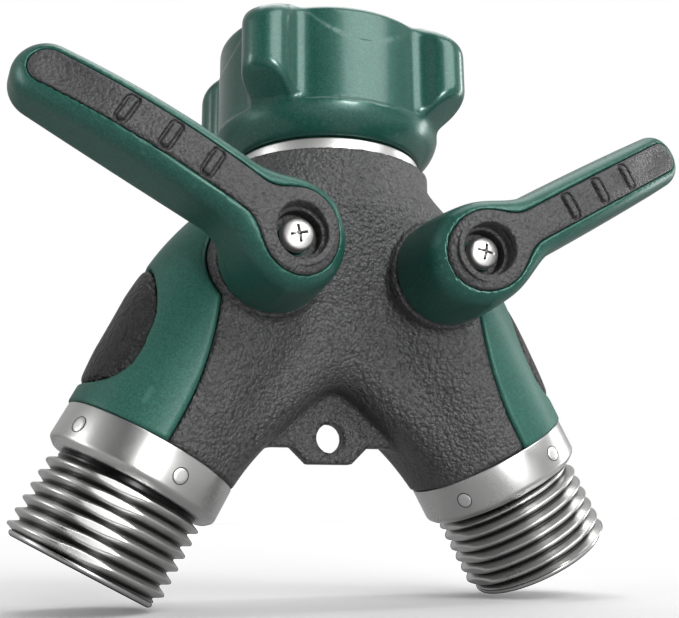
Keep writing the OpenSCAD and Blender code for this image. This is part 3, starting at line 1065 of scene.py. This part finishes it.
@dataclass
class Outlet:
    """A turned outlet: insert, collar, helical male thread and its round pins."""

    side: Side
    finishes: Finishes
    flat_at: float
    pin_at: float
    start: float = 42.9
    collar_from: float = 65.6
    collar_to: float = 72.6
    end: float = 87.6
    collar_radius: float = 15.0
    insert_radius: float = 10.5
    bore: float = 8.5
    root: float = 12.05
    crest: float = 13.5
    last_crest: float = 86.0
    flat_reach: float = 12.75
    pin_radius: float = 1.25
    pin_s: float = 69.0
    pins: int = 5
    pin_steps: int = 40
    segments: int = 256

    def _thread(self, angles: Array, along: Array) -> Array:
        """Radius of the threaded surface.

        Args:
            angles: Angles round the outlet, shape (segments, 1).
            along: Distances along the leg, shape (1, rows).

        Returns:
            Radii, shape (segments, rows).
        """
        hand = -self.side.value
        turn = (along - self.last_crest) / THREAD_PITCH - hand * angles / (2 * math.pi)
        ridge = off_crest(turn)
        tooth = join((0.86 - ridge) / 0.68, np.full_like(ridge, 1.0), 0.2)
        tooth = trim(tooth, np.zeros_like(ridge), 0.2)
        starts = np.clip((along - self.collar_to - 0.5) / 0.9, 0, 1)
        ends = np.clip((self.end - 0.75 - along) / 0.5, 0, 1)
        radius = self.root + (self.crest - self.root) * tooth * np.minimum(starts, ends)
        away = np.angle(np.exp(1j * (angles - self.flat_at)))
        limit = self.flat_reach / np.maximum(np.cos(away), 0.2)
        return trim(-radius, -np.where(np.abs(away) < 1.2, limit, 99.0), 0.3) * -1.0

    def _rows(self, angles: Array) -> Array:
        """The outlet's closed outline at each angle."""
        before = rounded([(self.bore, self.start, 0.3), (self.insert_radius, self.start, 0.4),
                          (self.insert_radius, self.collar_from, 0.1),
                          (self.collar_radius, self.collar_from, 0.25),
                          (self.collar_radius, self.collar_to - 1.05, 0.5),
                          (self.collar_radius - 1.25, self.collar_to, 0.4),
                          (self.root, self.collar_to, 0.2)])[:-3]
        after = rounded([(self.root, self.end - 0.9, 0.2), (self.root + 0.45, self.end - 0.75, 0.1),
                         (self.root + 0.45, self.end - 0.35, 0.2), (self.root, self.end, 0.2),
                         (self.bore + 0.5, self.end, 0.2), (self.bore, self.end - 0.5, 0.3),
                         (self.bore, self.start + 3, 0)])
        along = np.linspace(self.collar_to + 0.02, self.end - 0.9, 220)
        count = len(angles)
        spun = self._thread(angles[:, None], along[None, :])
        middle = np.stack([spun, np.broadcast_to(along, spun.shape)], -1)
        fixed = [np.broadcast_to(np.array(part), (count, len(part), 2)) for part in (before, after)]
        return np.concatenate([fixed[0], middle, fixed[1]], 1)

    def build(self) -> None:
        """Builds the outlet and its pins."""
        place = Place.leg(self.side)
        word = self.side.word
        shell = turned(self._rows, self.segments)
        add_piece(f"{word}_spigot", place, shell, "splitter_body",
                  self.finishes.outlet[self.side], (f"{word}_outlet",))
        r = self.pin_radius
        pin = lathe([(0.0, -2.0), (r - 0.06, -2.0), (r - 0.06, 0.0), (r - 0.14, 0.06),
                     (0.5 * r, 0.09), (0.0, 0.1)], self.pin_steps)
        seam = lathe([(r - 0.05, -1.0), (r + 0.1, -1.0), (r + 0.1, 0.02), (r - 0.05, 0.02)],
                     self.pin_steps)
        self._stud(f"{word}_pins", place, pin, self.finishes.pin,
                   (f"{word}_outlet_pins",))
        self._stud(f"{word}_pin_seams", place, seam, self.finishes.seal, ())

    def _stud(self, name: str, place: Place, pin: Shell,
              material: bpy.types.Material, nodes: tuple[str, ...]) -> None:
        """Sets one small turned shape at every pin's place round the collar.

        Args:
            name: The piece's name.
            place: The leg's axes.
            pin: The turned shape, with its outer face near Z = 0.
            material: Its finish.
            nodes: The model's nodes that it stands for.
        """
        points, faces = [], []
        for number in range(self.pins):
            angle = self.pin_at + number * 2 * math.pi / self.pins
            turn = (Matrix.Rotation(angle, 4, "Z") @ Matrix.Translation((0, 0, self.pin_s))
                    @ Matrix.Rotation(math.pi / 2, 4, "Y")
                    @ Matrix.Translation((0, 0, self.collar_radius)))
            m = np.array(turn)
            faces.append(pin.faces + sum(len(p) for p in points))
            points.append(pin.points @ m[:3, :3].T + m[:3, 3])
        add_piece(name, place, Shell(np.concatenate(points), np.concatenate(faces), True),
                  "splitter_body", material, nodes)


@dataclass
class Inlet:
    """The bright ring on the neck, and the swivel nut with its female thread."""

    finishes: Finishes
    tip: float = 27.3
    rib_half: float = 4.3
    barrel: float = 20.4
    bell: float = 20.9
    lip_z: float = -18.0
    height: float = 23.2
    foot_z: float = -13.4
    top_drop: float = 3.2
    scoop_z: float = 5.0
    scoop_r: float = 11.5
    scoop_depth: float = 0.16
    bore_foot: float = -13.4
    seat_radius: float = 12.4
    seat_foot: float = -18.7
    tube_radius: float = 10.06
    ring_top: float = -23.5
    ring_foot: float = -25.8
    ring_radius: float = 17.1
    liner_z: tuple[float, float] = (-0.6, -13.2)
    thread_minor: float = 12.2
    thread_major: float = 13.4

    def _ribs(self, x: Array, y: Array) -> Array:
        """Distances to the plan of the four ribs on the diagonals."""
        ax, ay = np.abs(x), np.abs(y)
        along = (ax + ay) / math.sqrt(2)
        across = (ax - ay) / math.sqrt(2)
        centre = self.tip - self.rib_half
        half = self.rib_half - 0.035 * np.maximum(centre - along, 0)
        return np.hypot(np.maximum(along - centre, 0), across) - half

    def nut(self, x: Array, y: Array, z: Array) -> Array:
        """Distances to the nut."""
        r = np.hypot(x, y)
        near = np.minimum(np.abs(x), np.abs(y))
        scoop = np.hypot(near, z - self.scoop_z) - self.scoop_r
        scoop = np.maximum(scoop, self.barrel - self.scoop_depth - r)
        run = self.tip - self.bell
        slope = math.hypot(run, self.top_drop)
        top = ((r - self.bell) * self.top_drop + z * run) / slope
        fall = self.foot_z - self.lip_z
        steep = math.hypot(run, fall)
        foot = ((r - self.bell) * fall - (z - self.lip_z) * run) / steep
        plan = join(r - self.barrel, self._ribs(x, y), 2.6)
        shape = trim(trim(plan, np.maximum(top, z), 2.4), foot, 1.3)
        shape = carve(shape, scoop, 0.12)
        down = np.clip((self.lip_z - z) / (self.height + self.lip_z), 0, 1)
        profile = self.bell - 1.1 * down - 2.3 * down ** 2.4
        bell = trim((r - profile) * 0.88, span(z, -self.height, self.lip_z), 0.45)
        shape = join(shape, bell, 0.9)
        bore = np.maximum(r - self.thread_major - 0.05, self.bore_foot - z)
        seat = np.maximum(r - self.seat_radius, self.seat_foot - z)
        neck = r - self.tube_radius
        lead = r - self.thread_major - 0.9 - z
        for tool in (np.minimum(bore, lead), seat, neck):
            shape = carve(shape, tool, 0.3)
        return shape

    def _thread_rows(self, angles: Array) -> Array:
        """The threaded liner's closed outline at each angle."""
        z = np.linspace(*self.liner_z, 110)
        turn = z[None, :] / THREAD_PITCH - angles[:, None] / (2 * math.pi)
        ridge = off_crest(turn)
        tooth = np.clip((0.86 - ridge) / 0.66, 0, 1)
        fade = np.clip((-0.7 - z) / 1.2, 0, 1)[None, :]
        radius = self.thread_major - (self.thread_major - self.thread_minor) * tooth * fade
        inner = np.stack([radius, np.broadcast_to(z, radius.shape)], -1)
        outer = np.array([(self.thread_major + 0.05, end) for end in self.liner_z[::-1]])
        outer = np.broadcast_to(outer, (len(angles), 2, 2))
        return np.concatenate([inner, outer], 1)

    def build(self) -> None:
        """Builds the nut, its thread and the neck ring."""
        place = Place.upright()
        nut = Skin(self.nut, (-22, -22, -24), (22, 22, 1), 0.42)
        add_piece("lobed_nut", place, nut.shell(), "inlet_nut", self.finishes.gloss,
                  ("swivel_nut",))
        liner = turned(self._thread_rows, 220)
        add_piece("nut_thread", place, liner, "inlet_nut", self.finishes.neck)
        ring = lathe(rounded([(10.0, self.ring_foot, 0.0),
                              (self.ring_radius, self.ring_foot, 0.25),
                              (self.ring_radius, self.ring_top, 0.35),
                              (10.0, self.ring_top, 0.0)]), 200)
        add_piece("bright_ring", place, ring, "splitter_body",
                  self.finishes.neck, ("neck_ring",))


@dataclass
class Lever:
    """A lever with its soft inlay and cross-head screw."""

    side: Side
    finishes: Finishes
    valve_s: float = 32.5
    length: float = 46.8
    face: float = 35.5
    crest_at: float = 18.0
    crown: float = 0.00676
    cant: float = math.radians(1.4)
    foot: float = 17.5
    inlay_half: float = 2.65
    dish: float = 5.2
    recess: float = 4.2
    seat: float = 28.4
    screw_radius: float = 2.6
    rise: float = 1.2
    ribs: tuple[float, ...] = (15.9, 22.7, 29.6)
    under: float = 23.8
    hub_radius: float = 9.15
    ring_radius: float = 6.35
    inset: float = 1.3
    hollow_from: float = 31.5
    turn: float = math.radians(40)

    def _turned(self, along: Array, s: Array) -> tuple[Array, Array]:
        """Distances along and across the arm, which sits a little above square.

        Args:
            along: Distance outward from the valve's axis.
            s: Distance along the leg.

        Returns:
            The same spot in the arm's own axes.
        """
        across = s - self.valve_s
        c, k = math.cos(self.cant), math.sin(self.cant)
        return along * c - across * k, along * k + across * c

    def _top(self, along: Array) -> Array:
        """Height of the lever's crowned outer face."""
        return self.face - (along - self.crest_at) ** 2 * self.crown

    def _arm_half(self, along: Array, out: Array) -> Array:
        """Half the arm's width at a distance from the hub and from the body."""
        part = np.clip(along / self.length, 0, 1)
        drop = np.clip((self._top(along) - out) / 11.0, 0, 1.15)
        return 4.75 - 0.35 * part + 0.9 * drop

    def handle(self, along: Array, y: Array, s: Array) -> Array:
        """Distances to the painted lever, in the leg's axes."""
        along, across = self._turned(along, s)
        out = -y
        half = self._arm_half(along, out)
        tip = self.length - 4.6
        arm = (np.hypot(np.maximum(along - tip, 0), across) - half) * 0.96
        arm = np.maximum(arm, -along)
        top = (out - self._top(along)) * 0.97
        under = self.under - 2.4 * np.clip(along / self.length, 0, 1) ** 1.5 - out
        arm = trim(arm, under, 2.2)
        rise = np.clip((out - self.foot) / (33.0 - self.foot), 0, 1)
        hub = np.hypot(along, across) - self.hub_radius + 0.8 * rise + 0.7 * rise ** 3
        shape = trim(join(hub, arm, 5.0), top, 3.4)
        shape = trim(shape, self.foot - 0.2 - out, 0.8)
        inset = self._inlay_plan(along, across) - 0.1
        shape = carve(shape, np.maximum(inset, self._top(along) - self.inset - out), 0.2)
        well = np.maximum(np.hypot(along, across) - self.dish - 0.05, self.seat - out)
        return carve(shape, well, 0.2)

    def _inlay_plan(self, along: Array, across: Array) -> Array:
        """Distances to the inlay's outline, seen from the front."""
        ring = np.hypot(along, across) - self.ring_radius
        end = self.length - 2.2 - self.inlay_half
        beyond = np.maximum(along - end, 0)
        strip = np.hypot(beyond, across) - self.inlay_half
        strip = np.maximum(strip, -along)
        return join(ring, strip, 3.0)

    def inlay(self, along: Array, y: Array, s: Array) -> Array:
        """Distances to the soft inlay with its cup and ribs."""
        along, across = self._turned(along, s)
        out = -y
        top = self._top(along)
        plan = self._inlay_plan(along, across)
        face = out - top + 0.2 - 0.2 * np.clip(-plan / 1.2, 0, 1)
        dish = np.clip((along - self.hollow_from) / 5, 0, 1)
        dish = dish * np.clip((self.length - 3.2 - along) / 4, 0, 1)
        face = face + dish * np.clip(1 - (across / 2.5) ** 2, 0, 1)
        for place in self.ribs:
            bar = np.hypot(np.maximum(np.abs(along - place) - 0.2, 0),
                           np.maximum(np.abs(across) - 1.55, 0)) - 0.38
            groove = np.clip(1.3 - np.abs(bar - 0.24) / 0.27, 0, 1)
            face = face + 0.6 * groove - 0.25 * np.clip(-bar / 0.2, 0, 1)
        shape = trim(plan, face * 0.9, 0.5)
        shape = np.maximum(shape, top - self.inset + 0.05 - out)
        r = np.hypot(along, across)
        cup = np.maximum(r - self.dish, span(out, self.seat, self._top(0) - 0.6))
        shape = np.minimum(shape, cup)
        ledge = np.where(out < self._top(0) - 2.2, self.recess - 0.55, self.recess)
        well = np.maximum(r - ledge, self.seat + 0.3 - out)
        eye = r - self.screw_radius - 0.08
        return carve(carve(shape, well, 0.22), eye, 0.15)

    def screw(self, x: Array, y: Array, z: Array) -> Array:
        """Distances to the pan head with its cross recess, about its own axis."""
        r = np.hypot(x, y)
        dome = np.sqrt(r ** 2 + (z + 2.6) ** 2) - 4.9
        head = trim(r - self.screw_radius, np.maximum(dome, -z), 0.5)
        shank = np.maximum(r - 1.2, np.maximum(z - 0.2, -10.2 - z))
        shape = np.minimum(head, shank)
        depth = np.clip((z - 0.7) / 1.6, 0, 1)
        arm = 0.6 + 0.95 * depth
        slot_a = np.maximum(np.abs(x) - arm, np.abs(y) - 0.17)
        slot_b = np.maximum(np.abs(y) - arm, np.abs(x) - 0.17)
        cross = np.maximum(join(slot_a, slot_b, 0.25), 0.8 - z)
        return carve(shape, cross, 0.08)

    def build(self) -> None:
        """Builds the lever, its inlay and its screw."""
        place = Place.leg(self.side)
        word = self.side.word
        body = f"{word}_valve"
        handle = Skin(self.handle, (-10.5, -37, 22.0), (48.5, -16.5, 43.0), 0.36)
        add_piece(f"{word}_handle", place, handle.shell(), body,
                  self.finishes.paint, (f"{word}_lever",))
        inlay = Skin(self.inlay, (-7.5, -36.6, 24.5), (46.5, -27.8, 40.5), 0.18)
        add_piece(f"{word}_soft_inlay", place, inlay.shell(), body,
                  self.finishes.inlay, (f"{word}_lever_inlay",))
        turn = Matrix.Rotation(self.turn, 4, "Z")
        seat = Matrix(((1, 0, 0, 0), (0, 0, -1, -self.seat - self.rise),
                       (0, 1, 0, self.valve_s), (0, 0, 0, 1)))
        screw = Skin(self.screw, (-2.9, -2.9, -10.6), (2.9, 2.9, 2.9), 0.11)
        add_piece(f"{word}_screw", place.then(seat @ turn), screw.shell(), body,
                  self.finishes.screw, (f"{word}_lever_screw",))


@dataclass
class Inside:
    """Inner pieces of the model that keep their own shape and get a finish."""

    finishes: Finishes

    def dress(self) -> None:
        """Gives every carried-over node its material."""
        looks = {"inlet_tailpiece": self.finishes.neck, "inlet_oring": self.finishes.seal,
                 "slip_washer": self.finishes.ptfe, "inlet_washer": self.finishes.seal}
        for side in Side:
            word = side.word
            looks[f"{word}_outlet_oring"] = self.finishes.seal
            looks[f"{word}_ball"] = self.finishes.chrome
            looks[f"{word}_ball_seats"] = self.finishes.ptfe
            looks[f"{word}_stem"] = self.finishes.pin
            looks[f"{word}_stem_orings"] = self.finishes.seal
            looks[f"{word}_stem_gland"] = self.finishes.pin
        for name, material in looks.items():
            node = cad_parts[name]
            for slot in node.material_slots:
                slot.material = material
            if not node.material_slots:
                node.data.materials.append(material)
        LOG.info("dressed %d inner pieces", len(looks))


# ---------------------------------------------------------------- studio


@dataclass
class Studio:
    """Camera, sweep, sky and soft lights."""

    eye: tuple[float, float, float] = (-55.0, -156.0, -87.0)
    heading: float = -20.2
    pitch: float = 12.7
    roll: float = -0.5
    lens: float = 49.4
    backdrop: float = 1.0
    lamps: tuple[tuple, ...] = (
        ("key box", (0.2, -0.5, 0.34), (0.5, 0.5), 3.4),
        ("left strip", (-0.5, 0.0, 0.05), (0.1, 0.3), 0.6),
        ("right strip", (0.5, 0.0, 0.06), (0.08, 0.4), 1.0),
        ("top box", (0.1, 0.12, 0.6), (0.5, 0.5), 2.0),
        ("low fill", (0.02, -0.5, -0.03), (0.12, 0.12), 1.6))

    def camera(self) -> None:
        """Places the camera low and to the left of the front."""
        data = bpy.data.cameras.new("camera")
        data.lens = self.lens
        data.sensor_width = 36.0
        data.clip_start = 0.01
        camera = bpy.data.objects.new("camera", data)
        turn = (Matrix.Rotation(math.radians(self.heading), 4, "Z")
                @ Matrix.Rotation(math.radians(90 + self.pitch), 4, "X")
                @ Matrix.Rotation(math.radians(self.roll), 4, "Z"))
        camera.matrix_world = Matrix.Translation(Vector(self.eye) * MM) @ turn
        bpy.context.scene.collection.objects.link(camera)
        bpy.context.scene.camera = camera

    def sweep(self, floor_z: float) -> None:
        """Builds a pale floor that catches the shadows.

        Args:
            floor_z: Height of the floor in metres.
        """
        verts = [(x, y, floor_z) for x in (-3.0, 3.0) for y in (-3.0, 3.0)]
        faces = [(0, 2, 3, 1)]
        mesh = bpy.data.meshes.new("sweep")
        mesh.from_pydata(verts, [], faces)
        mesh.shade_smooth()
        sweep = bpy.data.objects.new("sweep", mesh)
        bpy.context.scene.collection.objects.link(sweep)
        bench, material, shader = start_material("pale sweep")
        noise = bench.add("TexNoise", None, Scale=30.0, Detail=2.0)
        tint = bench.mix(noise.outputs[0], (0.4, 0.4, 0.4, 1), (0.38, 0.38, 0.385, 1))
        bench.feed(shader.inputs["Base Color"], tint)
        shader.inputs["Roughness"].default_value = 0.7
        shader.inputs["Specular IOR Level"].default_value = 0.1
        sweep.data.materials.append(material)
        sweep.is_shadow_catcher = True

    def sky(self) -> None:
        """Lights the room: bright behind, above and at the sides, darker in front."""
        world = bpy.data.worlds.new("room")
        world.use_nodes = True
        bench = Bench(world.node_tree)
        back = world.node_tree.nodes["Background"]
        spot = bench.add("TexCoord").outputs["Generated"]
        split = bench.add("SeparateXYZ", None, Vector=spot)
        front = bench.ramp(split.outputs["Y"], -0.5, 0.9, 0.05, 0.7)
        rise = bench.ramp(split.outputs["Z"], -0.2, 0.9, 0.45, 1.0)
        flank = bench.ramp(bench.math("ABSOLUTE", split.outputs["X"]), 0.5, 0.9, 0.0, 0.8)
        level = bench.math("MULTIPLY", bench.math("MAXIMUM", front, flank), rise)
        seen = bench.add("LightPath").outputs["Is Camera Ray"]
        level = bench.math("MAXIMUM", level, bench.math("MULTIPLY", seen, self.backdrop))
        bench.feed(back.inputs["Color"], bench.mix(level, (0.0, 0.0, 0.0, 1), (1.0, 1.0, 1.0, 1)))
        back.inputs["Strength"].default_value = 1.0
        bpy.context.scene.world = world

    def lamp(self, name: str, place: tuple, aim: tuple, size: tuple, power: float) -> None:
        """Adds a soft box.

        Args:
            name: The lamp's name.
            place: Where it stands, in metres.
            aim: The point it faces.
            size: Width and height in metres.
            power: Its power in watts.
        """
        data = bpy.data.lights.new(name, "AREA")
        data.shape = "RECTANGLE"
        data.size, data.size_y = size
        data.energy = power
        lamp = bpy.data.objects.new(name, data)
        lamp.location = place
        facing = Vector(aim) - Vector(place)
        lamp.rotation_euler = facing.to_track_quat("-Z", "Y").to_euler()
        bpy.context.scene.collection.objects.link(lamp)

    def build(self) -> None:
        """Builds the whole studio."""
        low, high = CAD_BOX
        self.camera()
        self.sweep(low[2] - 0.0006)
        self.sky()
        middle = tuple((low[i] + high[i]) / 2 for i in range(3))
        for name, place, size, power in self.lamps:
            self.lamp(name, place, middle, size, power)
        scene = bpy.context.scene
        scene.view_settings.view_transform = "Standard"
        scene.view_settings.look = "None"


def main() -> None:
    """Builds the studio and every sub-assembly."""
    logging.basicConfig(level=logging.INFO, format="%(message)s")
    Studio().build()
    finishes = Finishes(Effects().build()).build()
    leg = LegShape()
    Casting(leg, finishes).build()
    for side in Side:
        SideGrip(side, leg, finishes).build()
        Lever(side, finishes).build()
    Outlet(Side.LEFT, finishes, math.radians(280), math.radians(36)).build()
    Outlet(Side.RIGHT, finishes, math.radians(180), math.radians(0)).build()
    Inlet(finishes).build()
    Inside(finishes).dress()


if __name__ == "__main__":
    main()
